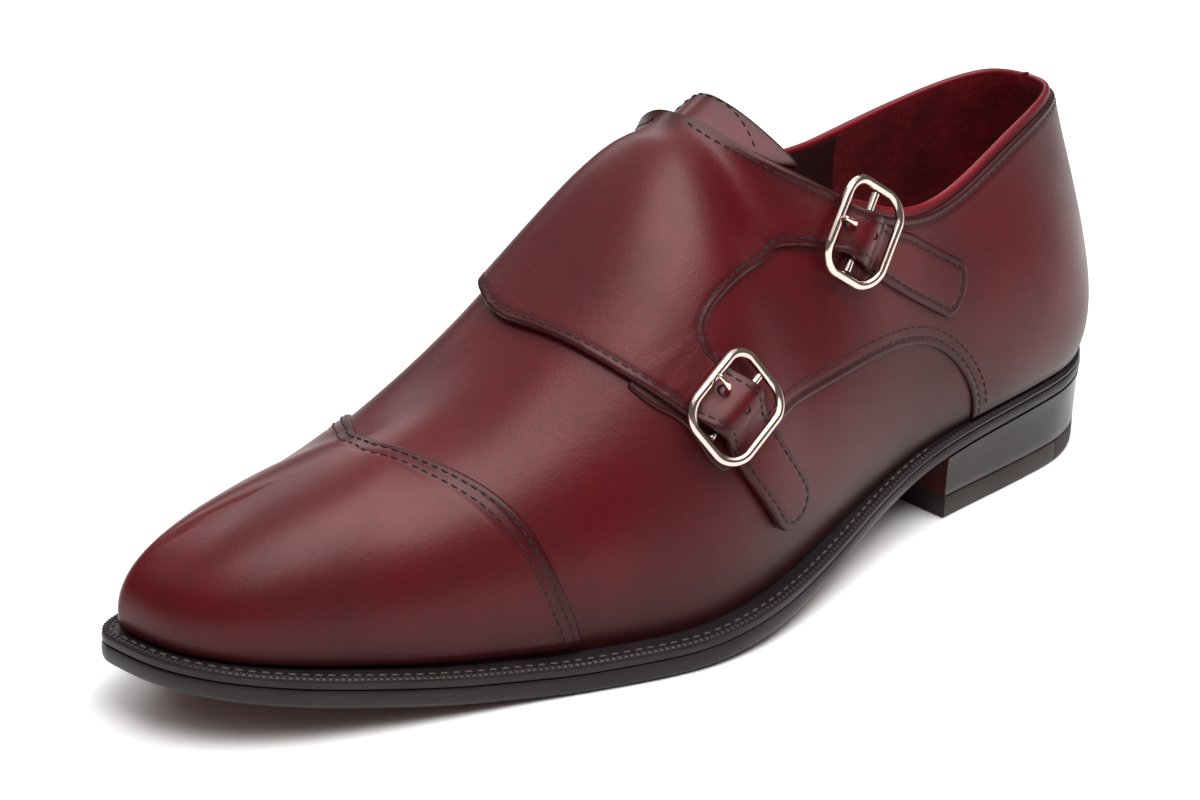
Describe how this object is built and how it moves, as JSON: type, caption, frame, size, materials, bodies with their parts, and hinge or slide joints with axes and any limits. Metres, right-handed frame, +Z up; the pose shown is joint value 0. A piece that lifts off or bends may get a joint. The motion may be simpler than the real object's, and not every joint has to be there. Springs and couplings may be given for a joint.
{
  "type": "shoe",
  "caption": "Low dress shoe with a plain toe cap, a flap over the instep held by straps with square buckles on the outer side, a leather sole and a stacked heel.",
  "frame": {"origin": "middle of the shoe's bounding box on the ground", "axes": "+X from heel to toe along the shoe, +Y towards the outer side of the foot, +Z up"},
  "size_m": [0.3094, 0.1026, 0.1263],
  "materials": {
    "upper_leather": "burnished smooth calf",
    "lining_leather": "matt lining",
    "sole_leather": "dyed and waxed sole edge",
    "top_piece_rubber": "matt",
    "buckle_metal": "polished, warm nickel"
  },
  "bodies": {
    "root": {"outsole": "sole_leather", "welt": "sole_leather", "insole": "lining_leather", "heel_stack": "sole_leather", "heel_top_piece_leather": "sole_leather", "heel_top_piece_rubber": "top_piece_rubber", "upper": "upper_leather", "toe_cap": "upper_leather", "tongue": "upper_leather", "strap_flap": "upper_leather", "buckle_upper_frame": "buckle_metal", "buckle_upper_bar": "buckle_metal", "buckle_upper_prong": "buckle_metal", "buckle_lower_frame": "buckle_metal", "buckle_lower_bar": "buckle_metal", "buckle_lower_prong": "buckle_metal"}
  },
  "joints": []
}
